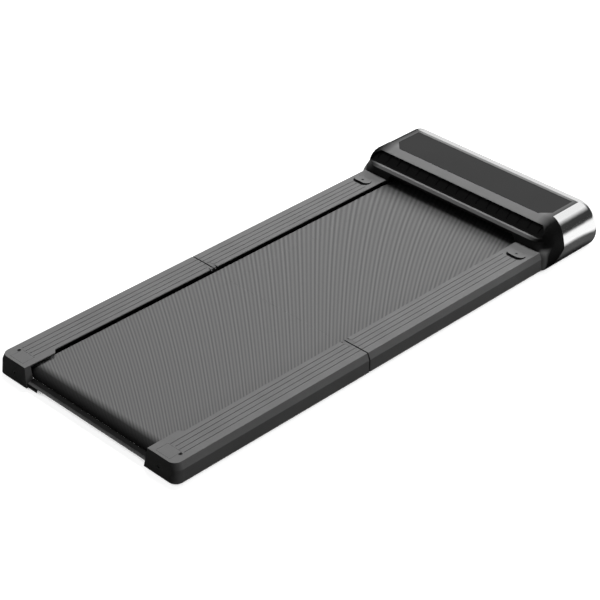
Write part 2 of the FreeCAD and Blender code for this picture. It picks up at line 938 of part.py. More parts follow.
def head_side_view(inset):
    """Side view of the head's rear: bevelled apron edge, sloping brow and flat crown."""
    slope = math.atan2(brow_height - apron_height, brow_setback)
    rise = math.atan2(head_height - brow_height, crown_setback - brow_setback)
    brow_shift = inset * math.tan((slope - rise) / 2)
    crown_shift = inset * math.tan(rise / 2)
    edge_y = apron_y + inset + apron_bevel_run
    edge_z = apron_height + (edge_y - apron_y) * math.tan(slope) - inset / math.cos(slope)
    out_y = apron_y - overrun
    out_z = edge_z - (edge_y - out_y) * apron_bevel_rise / apron_bevel_run
    low = head_bottom - overrun
    return [
        (out_y, low, 0),
        (out_y, out_z, 0),
        (edge_y, edge_z, apron_edge_radius),
        (apron_y + brow_setback + inset * math.sin(slope) + brow_shift * math.cos(slope),
         brow_height - inset * math.cos(slope) + brow_shift * math.sin(slope), brow_radius),
        (apron_y + crown_setback + crown_shift, head_height - inset, crown_radius),
        (front_y + overrun, head_height - inset, 0),
        (front_y + overrun, low, 0),
    ]


def head_outline(half, rear, front, rear_radius, front_radius):
    """Corners of the head's plan, rounded at the rear and at the front."""
    return [(-half, rear, rear_radius), (half, rear, rear_radius),
            (half, front, front_radius), (-half, front, front_radius)]


def head_heel(z):
    """Radius of the head's rear corners at a height: tight beside the rails, wide above them."""
    share = (z - rail_top + head_heel_drop) / head_heel_rise
    return head_heel_radius + (head_rear_corner_radius - head_heel_radius) * min(max(share, 0), 1)


def head_body(inset, reach):
    """Head without its brow: ends and front swell to the middle height; the rear is moved out by reach."""
    front_radius = head_front_corner_radius - inset
    rings = []
    for index in range(-head_ring_count, head_ring_count + 1):
        turn = math.pi / 2 * index / head_ring_count
        above = index > 0
        rise = head_shoulder_height if above else head_middle - head_bottom
        side = head_shoulder_depth if above else head_tuck
        nose = head_front_depth if above else head_front_tuck
        half = head_half - side + (side - inset) * math.cos(turn)
        front = front_y - nose + (nose - inset) * math.cos(turn)
        z = head_middle + (rise - inset) * math.sin(turn)
        outline = head_outline(half, apron_y + inset - reach, front, head_heel(z) - inset, front_radius)
        face = rounded_face(outline, vector_xy)
        face.translate(FreeCAD.Vector(0, 0, z))
        rings.append(face.OuterWire)
    return Part.makeLoft(rings, True, False)


def head_solid(inset):
    return head_body(inset, 0).common(prism_x(head_side_view(inset), -2 * head_half, 2 * head_half))


def head_floor(gap, z0, z1):
    """Slab that fills the open underside of the head, drawn in by gap."""
    inset = head_wall + gap
    front = front_y - head_front_tuck - inset
    outline = head_outline(head_floor_half - inset, apron_y + inset, front, head_heel_radius - inset,
                           head_front_corner_radius - inset)
    return prism_z(outline, z0, z1)


def head_shell():
    """The head's skin, open underneath."""
    well = head_floor(0, head_bottom - overrun, head_bottom + 2 * head_wall)
    return head_solid(0).cut([head_solid(head_wall), well])


def shell_region():
    """Space taken by the bright shell: the front and both ends, outside the panel's rim."""
    low = head_bottom - overrun
    high = head_height + overrun
    toe_y = shell_y - shell_toe * (shell_knee_height - low) / (shell_knee_height - head_bottom)
    view = plain([(shell_y, high), (shell_y, shell_knee_height), (toe_y, low),
                  (front_y + overrun, low), (front_y + overrun, high)])
    window = box(-rim_x, rim_x, shell_y - overrun, rim_y, head_height - shell_window_drop, high)
    return prism_x(view, -2 * head_half, 2 * head_half).cut(window)


def sloped_slab(sink, thickness):
    """Slab parallel to the brow, its face sunk below it by sink."""
    slope = math.atan2(brow_height - apron_height, brow_setback)
    along = FreeCAD.Vector(0, math.cos(slope), math.sin(slope))
    into = FreeCAD.Vector(0, math.sin(slope), -math.cos(slope))
    start = FreeCAD.Vector(0, apron_y, apron_height) + into * sink
    low = start - along * head_height
    high = start + along * head_height
    points = [(p.y, p.z, 0) for p in (low, high, high + into * thickness, low + into * thickness)]
    return prism_x(points, -2 * head_half, 2 * head_half)


def mouth_levels(margin):
    return apron_height + mouth_sill + margin, brow_height - mouth_lintel - margin


def mouth_space(margin):
    """Opening under the brow, parallel to the head's outline."""
    low, high = mouth_levels(margin)
    slab = box(-head_half, head_half, apron_y - mouth_depth, front_y, low, high)
    return head_body(mouth_band + margin, 2 * mouth_band).common(slab)


def vent_mouth():
    return mouth_space(0).common(sloped_slab(-mouth_depth, 2 * mouth_depth))


def grille():
    """A tray against the inside of the hood: tiles with dark slots between them, set back under the brow."""
    depth = grille_sink + grille_thickness - head_wall
    body = mouth_space(-grille_flange).common(sloped_slab(head_wall, depth))
    recess = mouth_space(0).common(sloped_slab(0, grille_sink))
    plate = body.cut(recess).common(head_solid(head_wall))
    low, high = mouth_levels(grille_slot_margin)
    half = head_half - mouth_band
    pitch = 2 * half / grille_slot_count
    slots = []
    for index in range(1, grille_slot_count):
        x = index * pitch - half
        slots.append(box(x - grille_slot_width / 2, x + grille_slot_width / 2, apron_y, front_y, low, high))
    grooves = Part.makeCompound(slots).common(sloped_slab(0, grille_sink + grille_slot_depth))
    return plate.cut(grooves)


def apron_openings():
    """The belt mouth and, below the rail tops, a window for the side tubes and the running board."""
    half = belt_mouth_width / 2
    depth = head_rear_corner_radius + head_wall
    mouth = prism_y([(-half, head_bottom - overrun, 0), (half, head_bottom - overrun, 0),
                     (half, belt_mouth_height, belt_mouth_radius),
                     (-half, belt_mouth_height, belt_mouth_radius)],
                    apron_y - overrun, apron_y + depth)
    reach = side_tube_x + side_tube_width + tube_window_gap
    window = box(-reach, reach, apron_y - overrun, apron_y + depth, head_bottom - overrun,
                 side_tube_top + side_tube_seat_gap)
    return mouth.fuse(window)


def panel_outline(margin):
    half = panel_width / 2 + margin
    y0 = panel_y0 - margin
    y1 = panel_y1 + margin
    return plain([(-half, y0 + panel_cut), (-half + panel_cut, y0), (half - panel_cut, y0),
                  (half, y0 + panel_cut), (half, y1), (-half, y1)])


def top_panel():
    return prism_z(panel_outline(0), panel_top - panel_thickness, panel_top)


def display_places():
    x = display_width / 2 - post_inset
    y = (panel_y0 + panel_y1) / 2
    shift = display_depth / 2 - post_inset
    return [(sx * x, y + sy * shift) for sx in (-1, 1) for sy in (-1, 1)]


def head_hood():
    hood = head_shell().cut(shell_region())
    hood = hood.cut(vent_mouth()).cut(apron_openings())
    pocket = prism_z(panel_outline(panel_gap), panel_top - panel_thickness, head_height + overrun)
    hood = hood.cut(pocket)
    under = head_height - head_wall
    for x, y in display_places():
        hood = hood.fuse(rod_z(post_radius, under - display_drop, under, x, y))
    return hood.removeSplitter()


def display_board():
    y = (panel_y0 + panel_y1) / 2
    top = head_height - head_wall - display_drop
    half = display_width / 2
    return box(-half, half, y - display_depth / 2, y + display_depth / 2, top - board_thickness, top)


def wheel_slot():
    half = wheel_width / 2 + wheel_gap + fork_thickness
    reach = wheel_radius + wheel_gap
    return box(wheel_x - half, wheel_x + half, wheel_y - reach, front_y + overrun, head_bottom - overrun,
               wheel_height + reach)


def bright_shell():
    shell = head_shell().common(shell_region())
    slot = wheel_slot()
    shell = shell.cut(slot).cut(mirrored(slot))
    return shell.cut(power_plate_solid(plate_lip, plate_y0 - overrun, front_y + overrun))


def head_tray():
    """Floor of the head; risers under the side tubes' axle blocks hold it."""
    plate = head_floor(tray_edge_gap, head_bottom, tray_top)
    riser_top = roller_z - axle_radius - axle_block_margin
    riser_x = axle_block_x
    riser_y = front_tube_end + slip_gap
    riser = box(riser_x, riser_x + axle_block_width, riser_y, riser_y + tray_riser_depth, tray_top, riser_top)
    slot = wheel_slot()
    tray = plate.fuse(riser).fuse(mirrored(riser)).cut(slot).cut(mirrored(slot))
    for x, y in board_post_places():
        tray = tray.fuse(rod_z(post_radius, tray_top, tray_top + post_height, x, y))
    return tray.removeSplitter()


def motor_case():
    """Motor can with end plates, open inside for the armature."""
    x0 = -motor_outer_end
    x1 = -motor_inner_end
    can = rod_x(motor_radius, x0, x1, motor_y, motor_axis_height)
    hollow = rod_x(motor_radius - motor_wall, x0 + motor_wall, x1 - motor_wall, motor_y, motor_axis_height)
    bore = rod_x(motor_shaft_radius + turn_gap, x0 - overrun, x1 + overrun, motor_y, motor_axis_height)
    return can.cut(hollow).cut(bore)


def motor_saddle():
    middle = -(motor_inner_end + motor_outer_end) / 2
    half = saddle_length / 2
    block = box(middle - half, middle + half, motor_y - saddle_depth / 2, motor_y + saddle_depth / 2,
                tray_top, motor_axis_height - saddle_rise)
    return block.cut(rod_x(motor_radius + turn_gap, middle - half - overrun, middle + half + overrun,
                           motor_y, motor_axis_height))


def motor_shaft():
    shaft = rod_x(motor_shaft_radius, -pulley_x1, -motor_inner_end + motor_tail, motor_y, motor_axis_height)
    core = rod_x(armature_radius, -motor_outer_end + armature_gap, -motor_inner_end - armature_gap,
                 motor_y, motor_axis_height)
    return shaft.fuse(core).removeSplitter()


def motor_fan():
    x0 = -motor_inner_end + fan_gap
    x1 = x0 + fan_width
    hub = rod_x(fan_hub_radius, x0, x1, motor_y, motor_axis_height)
    fan = hub
    for index in range(fan_blades):
        blade = box(x0, x1, motor_y + fan_hub_radius / 2, motor_y + fan_radius,
                    motor_axis_height - fan_blade_thickness / 2, motor_axis_height + fan_blade_thickness / 2)
        blade.rotate(FreeCAD.Vector(x0, motor_y, motor_axis_height), FreeCAD.Vector(1, 0, 0),
                     360 / fan_blades * index)
        fan = fan.fuse(blade)
    bore = rod_x(motor_shaft_radius, x0 - overrun, x1 + overrun, motor_y, motor_axis_height)
    return fan.removeSplitter().cut(bore)


def pulley(radius, bore, y, z):
    wheel = rod_x(radius, -pulley_x1, -pulley_x0 + pulley_gap, y, z)
    return wheel.cut(rod_x(bore, -pulley_x1 - overrun, -pulley_x0 + pulley_gap + overrun, y, z))


def roller_pulley():
    return pulley(roller_pulley_radius, axle_radius + pulley_gap, front_roller_y, roller_z)


def motor_pulley():
    return pulley(motor_pulley_radius, motor_shaft_radius, motor_y, motor_axis_height)


def loop_solid(grow, x0, x1):
    """Solid inside a belt line round both pulleys, grown by grow."""
    small = motor_pulley_radius + grow
    large = roller_pulley_radius + grow
    dy = motor_y - front_roller_y
    dz = motor_axis_height - roller_z
    span = math.hypot(dy, dz)
    lean = math.atan2(dz, dy)
    wrap = math.acos((large - small) / span)
    points = []
    for y, z, radius, turn in ((front_roller_y, roller_z, large, wrap),
                               (motor_y, motor_axis_height, small, wrap),
                               (motor_y, motor_axis_height, small, -wrap),
                               (front_roller_y, roller_z, large, -wrap)):
        points.append((y + radius * math.cos(lean + turn), z + radius * math.sin(lean + turn)))
    solid = prism_x(plain(points), x0, x1)
    solid = solid.fuse(rod_x(large, x0, x1, front_roller_y, roller_z))
    return solid.fuse(rod_x(small, x0, x1, motor_y, motor_axis_height))


def drive_belt():
    middle = (pulley_x1 + pulley_x0 - pulley_gap) / 2
    x0 = -middle - drive_belt_width / 2
    x1 = -middle + drive_belt_width / 2
    outer = loop_solid(slip_gap + drive_belt_thickness, x0, x1)
    return outer.cut(loop_solid(slip_gap, x0 - overrun, x1 + overrun)).removeSplitter()


def board_span():
    y1 = front_y - board_front_inset
    return board_inner_x, board_inner_x + board_width, y1 - board_depth, y1


def board_post_places():
    x0, x1, y0, y1 = board_span()
    inset = post_inset
    return [(x, y) for x in (x0 + inset, x1 - inset) for y in (y0 + inset, y1 - inset)]


def control_board():
    x0, x1, y0, y1 = board_span()
    low = tray_top + post_height
    top = low + board_thickness
    pieces = [box(x0, x1, y0, y1, low, top)]
    y = y0 + post_inset + post_radius + capacitor_radius
    for index in range(capacitor_count):
        x = x0 + 2 * post_inset + capacitor_radius + index * (2 * capacitor_radius + post_radius)
        pieces.append(rod_z(capacitor_radius, top, top + capacitor_height, x, y))
    relay_x = x1 - 2 * post_inset - relay_width
    relay_y = y0 + 2 * post_inset
    pieces.append(box(relay_x, relay_x + relay_width, relay_y, relay_y + relay_depth,
                      top, top + relay_height))
    return Part.makeCompound(pieces)


def heat_sink():
    x0, x1, y0, y1 = board_span()
    low = tray_top + post_height + board_thickness
    start = (x0 + x1 - sink_width) / 2
    back = y1 - post_inset - post_radius - sink_depth
    sink = box(start, start + sink_width, back, back + sink_depth, low, low + sink_base)
    pitch = (sink_width - sink_fin_thickness) / (sink_fins - 1)
    for index in range(sink_fins):
        x = start + index * pitch
        sink = sink.fuse(box(x, x + sink_fin_thickness, back, back + sink_depth, low, low + sink_height))
    return sink.removeSplitter()


def power_plate_solid(inset, y0, y1):
    half_x = plate_width / 2 - inset
    half_z = plate_height / 2 - inset
    r = plate_radius
    x0 = power_x - half_x
    x1 = power_x + half_x
    z0 = power_height - half_z
    z1 = power_height + half_z
    return prism_y([(x0, z0, r), (x1, z0, r), (x1, z1, r), (x0, z1, r)], y0, y1)


def inlet_x():
    return power_x - inlet_offset


def switch_x():
    return power_x + switch_offset


def centred_box(x, width, z, height, y0, y1):
    return box(x - width / 2, x + width / 2, y0, y1, z - height / 2, z + height / 2)


def power_plate():
    y0 = plate_y0 - overrun
    y1 = front_y + overrun
    plate = power_plate_solid(0, plate_y0, front_y).common(head_solid(head_wall))
    plate = plate.cut(centred_box(inlet_x(), inlet_width, power_height, inlet_height, y0, y1))
    return plate.cut(centred_box(switch_x(), switch_width, power_height, switch_height, y0, y1))


def power_inlet():
    body = centred_box(inlet_x(), inlet_width, power_height, inlet_height, plate_y1 - inlet_length, plate_y1)
    floor_y = plate_y1 - inlet_length + inlet_floor
    cavity = centred_box(inlet_x(), inlet_width - 2 * inlet_wall, power_height, inlet_height - 2 * inlet_wall,
                         floor_y, plate_y1 + overrun)
    inlet = body.cut(cavity)
    for step in (-1, 0, 1):
        rise = blade_rise if step == 0 else -blade_rise
        inlet = inlet.fuse(centred_box(inlet_x() + step * blade_spacing, blade_width, power_height + rise,
                                       blade_height, floor_y, floor_y + blade_length))
    return inlet.removeSplitter()


def rocker_radius():
    return switch_height / 2 - switch_wall - rocker_gap


def rocker_axis_y():
    return plate_y1 - rocker_proud


def switch_frame():
    """Housing of the rocker, with a seat for its pivot stubs."""
    y0 = plate_y1 - switch_length
    body = centred_box(switch_x(), switch_width, power_height, switch_height, y0, plate_y1)
    hollow = centred_box(switch_x(), switch_width - 2 * switch_wall, power_height,
                         switch_height - 2 * switch_wall, y0 + switch_wall, plate_y1 + overrun)
    half = switch_width / 2
    pivot = rod_x(rocker_pivot_radius + turn_gap, switch_x() - half + switch_wall / 2,
                  switch_x() + half - switch_wall / 2, rocker_axis_y(), power_height)
    return body.cut(hollow).cut(pivot)


def power_rocker():
    """Rocker with a shallow V face, resting with its upper end pressed in."""
    half = switch_width / 2 - switch_wall - rocker_gap
    x0 = switch_x() - half
    x1 = switch_x() + half
    y = rocker_axis_y()
    radius = rocker_radius()
    drop = radius * math.tan(math.radians(rocker_tilt))
    rocker = rod_x(radius, x0, x1, y, power_height)
    rocker = rocker.common(box(x0, x1, y - radius, y + rocker_proud,
                               power_height - radius, power_height + radius))
    face = prism_x(plain([(y + rocker_proud - drop, power_height), (y + rocker_proud, power_height + radius),
                          (y + rocker_proud + overrun, power_height + radius),
                          (y + rocker_proud + overrun, power_height - radius),
                          (y + rocker_proud, power_height - radius)]), x0 - overrun, x1 + overrun)
    rocker = rocker.cut(face)
    rocker.rotate(FreeCAD.Vector(x0, y, power_height), FreeCAD.Vector(1, 0, 0), rocker_tilt)
    stub = half + rocker_gap + switch_wall / 2 - turn_gap
    return rocker.fuse(rod_x(rocker_pivot_radius, switch_x() - stub, switch_x() + stub, y, power_height))


def transport_wheel():
    half = wheel_width / 2
    wheel = rod_x(wheel_radius, wheel_x - half, wheel_x + half, wheel_y, wheel_height)
    rims = [edge for edge in wheel.Edges if edge.Closed]
    wheel = wheel.makeFillet(wheel_tread_radius, rims)
    return wheel.cut(rod_x(wheel_bore_radius + turn_gap, wheel_x - half - overrun, wheel_x + half + overrun,
                           wheel_y, wheel_height))


def wheel_axle():
    half = wheel_width / 2 + wheel_gap + fork_thickness
    return rod_x(wheel_bore_radius, wheel_x - half, wheel_x + half, wheel_y, wheel_height)


def wheel_fork():
    """Two cheeks beside the wheel that rise from the tray."""
    cheeks = []
    half = wheel_width / 2 + wheel_gap
    hub = wheel_bore_radius * 2
    for x in (wheel_x - half - fork_thickness, wheel_x + half):
        cheek = box(x, x + fork_thickness, wheel_y - fork_depth, wheel_y,
                    wheel_height - hub, wheel_height + hub)
        cheek = cheek.fuse(rod_x(hub, x, x + fork_thickness, wheel_y, wheel_height)).removeSplitter()
        cheek = cheek.cut(rod_x(wheel_bore_radius, x - overrun, x + fork_thickness + overrun,
                                wheel_y, wheel_height))
        cheeks.append(cheek)
    bridge = box(wheel_x - half - fork_thickness, wheel_x + half + fork_thickness,
                 wheel_y - fork_depth - fork_thickness, wheel_y - fork_depth, tray_top, wheel_height + hub)
    return bridge.fuse(cheeks[0]).fuse(cheeks[1]).removeSplitter()


def main():
    pieces = {
        "front_cross_members": cross_members(front_cross_places()),
        "front_deck_cushions": deck_cushions(front_cross_places()),
        "front_deck": front_deck(),
        "front_bottom_pan": front_pan(),
        "front_feet": front_feet(),
        "front_side_tubes": both(front_side_tube()),
        "front_hinge_blocks": both(hinge_block(1)),
        "buffer_screws": both(buffer_screw()),
        "walking_belt_front": front_belt(),
        "front_axle": axle(front_roller_y),
        "front_axle_blocks": both(front_axle_block()),
        "front_roller": roller(front_roller_y),
        "front_roller_bearings": roller_bearings(front_roller_y),
        "roller_pulley": roller_pulley(),
        "head_hood": head_hood(),
        "bright_shell": bright_shell(),
        "vent_grille": grille(),
        "top_panel": top_panel(),
        "display_board": display_board(),
        "head_tray": head_tray(),
        "motor_case": motor_case(),
        "motor_saddle": motor_saddle(),
        "motor_shaft": motor_shaft(),
        "motor_pulley": motor_pulley(),
        "motor_fan": motor_fan(),
        "drive_belt": drive_belt(),
        "control_board": control_board(),
        "heat_sink": heat_sink(),
        "power_plate": power_plate(),
        "power_inlet": power_inlet(),
        "switch_frame": switch_frame(),
        "power_rocker": power_rocker(),
        "wheel_axles": both(wheel_axle()),
        "wheel_forks": both(wheel_fork()),
        "rear_cross_members": cross_members(rear_cross_places()),
        "rear_deck_cushions": deck_cushions(rear_cross_places()),
        "rear_deck": rear_deck(),
        "rear_bottom_pan": rear_pan(),
        "rear_feet": rear_feet(),
        "rear_side_tubes": both(rear_side_tube()),
        "rear_hinge_blocks": both(hinge_block(-1)),
        "landing_pads": both(landing_pad()),
        "rear_guard": rear_guard(),
        "corner_screws": both(corner_screw()),
        "walking_belt_rear": rear_belt(),
        "rear_axle": rear_axle(),
        "rear_axle_blocks": both(rear_axle_block()),
        "tension_bolts": both(tension_bolt()),
        "rear_roller": roller(rear_roller_y),
        "rear_roller_bearings": roller_bearings(rear_roller_y),
        "hinge_links": both(hinge_link()),
        "hinge_pins": Part.makeCompound(hinge_pins() + [mirrored(pin) for pin in hinge_pins()]),
    }
    sided = {
        "front_rail": front_rail_cover(),
        "fold_buffer": fold_buffer(),
        "rear_rail": rear_rail_cover(),
        "transport_wheel": transport_wheel(),
    }
    for name, shape in sided.items():
        pieces[name + "_right"] = shape
        pieces[name + "_left"] = mirrored(shape)
    os.makedirs("parts", exist_ok=True)
    for name, shape in pieces.items():
        shape.exportStep("parts/" + name + ".step")


main()
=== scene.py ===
import json
import math

import bpy
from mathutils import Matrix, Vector


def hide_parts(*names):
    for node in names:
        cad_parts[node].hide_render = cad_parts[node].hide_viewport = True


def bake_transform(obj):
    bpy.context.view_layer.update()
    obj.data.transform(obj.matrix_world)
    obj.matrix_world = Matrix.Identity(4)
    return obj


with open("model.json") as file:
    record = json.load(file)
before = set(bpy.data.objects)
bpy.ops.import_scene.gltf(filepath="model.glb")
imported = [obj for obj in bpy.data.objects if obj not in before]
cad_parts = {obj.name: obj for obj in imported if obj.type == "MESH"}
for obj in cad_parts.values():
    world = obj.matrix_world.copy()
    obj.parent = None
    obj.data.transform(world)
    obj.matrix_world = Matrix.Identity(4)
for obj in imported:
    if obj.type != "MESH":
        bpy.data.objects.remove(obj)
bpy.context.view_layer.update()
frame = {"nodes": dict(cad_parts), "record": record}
nodes = frame["nodes"]
slot_of = {row["node"]: row["material_slot"] for row in frame["record"]["subparts"]}

# Camera at the photograph's viewing angle
CAMERA_AZIMUTH = math.radians(45.064)
CAMERA_ELEVATION = math.radians(33.026)
CAMERA_PLACE = (2.87683, -2.91111, 2.67220)
CAMERA_LENS = 120.11
CAMERA_SENSOR = 36.0
CAMERA_REACH = 60.0

# Lamps: place, aim, size and power in watts
LAMPS = {
    "overhead": ((-0.8, 1.0, 4.5), (0.0, 0.15, 0.0), (1.4, 1.4), 165.0),
    "front_fill": ((-0.6, 5.0, 3.6), (0.0, 0.0, 0.0), (3.0, 2.0), 210.0),
    "right_fill": ((3.2, 0.6, 0.9), (0.2, 0.1, 0.03), (1.2, 0.8), 15.5),
}

# Places that the belt pieces share with the frame, in metres
SEAM_Y = -0.1185
ROLLER_Z = 0.0294
FRONT_ROLLER_Y = 0.537
REAR_ROLLER_Y = -0.6795
BELT_HALF = 0.220
BELT_OUTER = 0.0166
BELT_INNER = 0.0146
SEAM_GAP = 0.00003

# Divisions of the belt's skin, in metres: fine at the seam, where it bends, and wide elsewhere
FINE_STEP = 0.0005
FINE_COUNT = 21
GROWING_STEPS = (0.0115, 0.014, 0.018, 0.025, 0.04)
WIDE_STEP = 0.05
LEAST_STEP = 0.01
ARC_COUNT = 32
EDGE_STEPS = (0.0, 0.0003, 0.0010)
EDGE_DROPS = (0.0008, 0.0002, 0.0)
MIDDLE_COLUMNS = (-0.16, -0.08, 0.0, 0.08, 0.16)

# Ribs of the walking belt: ribs per metre aside and along, how these change per metre, ribs in a slow wave
RIBS_ASIDE = 73.5
RIBS_ALONG = 73.3
RIB_BEND_ASIDE = 34.7
RIB_BEND_ALONG = -37.3
RIB_GROUP = 3.66
RIB_MIDDLE = 0.5
RIB_DEPTH = 0.4
RIB_SWAY = 0.1
RIB_SHARE = 0.8
# Dark and light of the belt, whose colour follows the ribs as painted rib shading
BELT_SHADES = (0.101, 0.2135)

# Places along the belt, measured from the seam, between which painted shade darkens it towards its ends: the
# hood's shadow at the front, the roll over the rear roller at the back
FRONT_DARK = (0.585, 0.615)
FRONT_DARK_SHARE = 0.4
REAR_DARK = (-0.544, -0.564)
REAR_DARK_SHARE = 0.12

# Heights and places between which painted surfaces change, in metres; all but the hinge's bound painted shade
CAP_SHADE_EDGE = (0.250, 0.288)
FAR_END = (-0.298, -0.255)
FAR_END_SHARE = 0.4
LEDGE = (0.0812, 0.0826)
APRON_SHADE_SHARE = 0.085
HEEL_SIDE = (0.292, 0.300)
HEEL_HEIGHT = (0.058, 0.068)
HEEL_FACING = (-0.5, -0.1)
HINGE_TOP = (0.0562, 0.0568)
BUFFER_SHADE_BASE = (0.0582, 0.0586)
BUFFER_SHADE_FACING = (0.5, 0.7)
GUARD_SHADE_LINE = (0.0211, 0.0215)
JOINT_SHADE_EDGE = (0.0013, 0.0017)
JOINT_SHADE_SHARE = 0.02

# Finish that the moulded plastics share
BLACK = 0.004
GRAIN = 900.0
GRAIN_DETAIL = 2.0
GRAIN_BUMP = 0.35
GRAIN_DEPTH = 0.00006
GRAIN_PLAY = 0.9
MOTTLE = 14.0
SHEEN = 40.0
SHEEN_PLAY = 0.05
CLOUD_DETAIL = 3.0

# Finish of powder-coated steel
PEEL = 350.0
PEEL_BUMP = 0.3
PEEL_DEPTH = 0.00012
PEEL_PLAY = 0.06

# Floor: its extent, the painted shadow where the object covers it closely, and the pale ring that polished
# metal mirrors
FLOOR_REACH = 9.0
FLOOR_DROP = 0.0005
FLOOR_SHADES = (0.075, 0.45)
FLOOR_GLOW = 0.93
COVER_HEIGHT = 0.07
COVER_SAMPLES = 4
COVER_EDGE = (0.03, 0.14)
FOOTPRINT = {"X": 0.3165, "Y": 0.7215}
RING_SHARE = 0.78
RING_START = (0.066, 0.104)
RING_STOP = (0.31, 0.90)
RING_HEAD = (0.20, 0.45)

# World: weak fill, and for metal a sky above a dark horizon and a pale card at one side
WORLD_FILL = 0.012
SKY_SHARE = 0.045
SKY_RISE = (0.30, 0.55)
SIDE_SHARE = 0.1
SIDE_EDGE = (-0.66, -0.60)
CARD_SHARE = 0.85
CARD_START = (-0.64, -0.60)
CARD_STOP = (-0.15, 0.05)


def add_camera():
    data = bpy.data.cameras.new("photo_camera")
    data.lens = CAMERA_LENS
    data.sensor_width = CAMERA_SENSOR
    data.sensor_fit = "HORIZONTAL"
    data.clip_end = CAMERA_REACH
    camera = bpy.data.objects.new("photo_camera", data)
    bpy.context.scene.collection.objects.link(camera)
    back = Vector((math.sin(CAMERA_AZIMUTH) * math.cos(CAMERA_ELEVATION),
                   -math.cos(CAMERA_AZIMUTH) * math.cos(CAMERA_ELEVATION),
                   math.sin(CAMERA_ELEVATION)))
    camera.location = CAMERA_PLACE
    camera.rotation_euler = (-back).to_track_quat("-Z", "Y").to_euler()
    bpy.context.scene.camera = camera


def add_lamps():
    """Area lamps that light the object but don't show in the polished metal."""
    for name, (place, aim, size, power) in LAMPS.items():
        data = bpy.data.lights.new(name, "AREA")
        data.shape = "RECTANGLE"
        data.size, data.size_y = size
        data.energy = power
        lamp = bpy.data.objects.new(name, data)
        bpy.context.scene.collection.objects.link(lamp)
        lamp.location = place
        lamp.rotation_euler = (Vector(aim) - Vector(place)).to_track_quat("-Z", "Y").to_euler()
        lamp.visible_glossy = False


class Graph:
    """Small helper that builds the nodes of one material or world."""

    def __init__(self, owner):
        self.owner = owner
        owner.use_nodes = True
        self.tree = owner.node_tree
        self.shader = self.tree.nodes.get("Principled BSDF")

    def node(self, kind, **values):
        made = self.tree.nodes.new(kind)
        for key, value in values.items():
            setattr(made, key, value)
        return made

    def link(self, output, target):
        self.tree.links.new(output, target)

    def put(self, **sockets):
        for key, value in sockets.items():
            self.shader.inputs[key.replace("_", " ")].default_value = value

    def place(self):
        return self.node("ShaderNodeTexCoord").outputs["Object"]

    def axes(self, source=None):
        """X, Y and Z of a vector, or else of the place on the object."""
        made = self.node("ShaderNodeSeparateXYZ")
        self.link(source or self.place(), made.inputs["Vector"])
        return made.outputs

    def facing(self):
        return self.axes(self.node("ShaderNodeNewGeometry").outputs["Normal"])

    def noise(self, scale, detail=4.0, rough=0.55, stretch=None, source=None):
        source = source or self.place()
        if stretch:
            mapping = self.node("ShaderNodeMapping")
            mapping.inputs["Scale"].default_value = stretch
            self.link(source, mapping.inputs["Vector"])
            source = mapping.outputs["Vector"]
        made = self.node("ShaderNodeTexNoise")
        made.inputs["Scale"].default_value = scale
        made.inputs["Detail"].default_value = detail
        made.inputs["Roughness"].default_value = rough
        self.link(source, made.inputs["Vector"])
        return made.outputs["Fac"]

    def spread(self, value, low, high, start=0.3, stop=0.7):
        """Value that runs from low to high, and no further, while the given one runs from start to stop."""
        made = self.node("ShaderNodeMapRange")
        made.inputs["From Min"].default_value = start
        made.inputs["From Max"].default_value = stop
        made.inputs["To Min"].default_value = low
        made.inputs["To Max"].default_value = high
        self.link(value, made.inputs["Value"])
        return made.outputs["Result"]

    def math(self, operation, first, second=0.0):
        made = self.node("ShaderNodeMath", operation=operation)
        for socket, value in zip(made.inputs, (first, second)):
            if isinstance(value, (int, float)):
                socket.default_value = value
            else:
                self.link(value, socket)
        return made.outputs["Value"]

    def times(self, first, *others):
        for value in others:
            first = self.math("MULTIPLY", first, value)
        return first

    def most(self, first, *others):
        for value in others:
            first = self.math("MAXIMUM", first, value)
        return first

    def mixed(self, first, second, share):
        """Sum of two values, of which the first has the given share."""
        return self.math("ADD", self.times(first, share), self.times(second, 1 - share))

    def tint(self, value, dark, light):
        """Base colour that runs between two colours as value goes from 0 to 1."""
        made = self.node("ShaderNodeMix", data_type="RGBA")
        made.inputs["A"].default_value = (*dark, 1)
        made.inputs["B"].default_value = (*light, 1)
        self.link(value, made.inputs["Factor"])
        self.link(made.outputs["Result"], self.shader.inputs["Base Color"])

    def rough(self, value, low, high, *limits):
        self.link(self.spread(value, low, high, *limits), self.shader.inputs["Roughness"])

    def bump(self, value, strength, distance):
        made = self.node("ShaderNodeBump")
        made.inputs["Strength"].default_value = strength
        made.inputs["Distance"].default_value = distance
        self.link(value, made.inputs["Height"])
        self.link(made.outputs["Normal"], self.shader.inputs["Normal"])

    def moulded(self, fine, rough, level, depth=GRAIN_DEPTH):
        """Fine spark-eroded grain and slightly uneven sheen of moulded plastic."""
        self.rough(self.noise(SHEEN, CLOUD_DETAIL), rough - SHEEN_PLAY, rough + SHEEN_PLAY)
        self.bump(fine, GRAIN_BUMP, depth)
        self.put(Specular_IOR_Level=level)


def grey(value):
    return (value, value, value)


def moulded(name, shade, rough, level=0.35, grain=GRAIN, depth=GRAIN_DEPTH, play=0.10, mottle_share=0.6):
    """Moulded plastic with faint mottling."""
    graph = Graph(bpy.data.materials.new(name))
    mottle = graph.spread(graph.noise(MOTTLE, CLOUD_DETAIL), 0.0, 1.0)
    fine = graph.noise(grain, GRAIN_DETAIL)
    graph.tint(graph.mixed(mottle, fine, mottle_share), grey(shade * (1 - play)), grey(shade * (1 + play)))
    graph.moulded(fine, rough, level, depth)
    return graph.owner


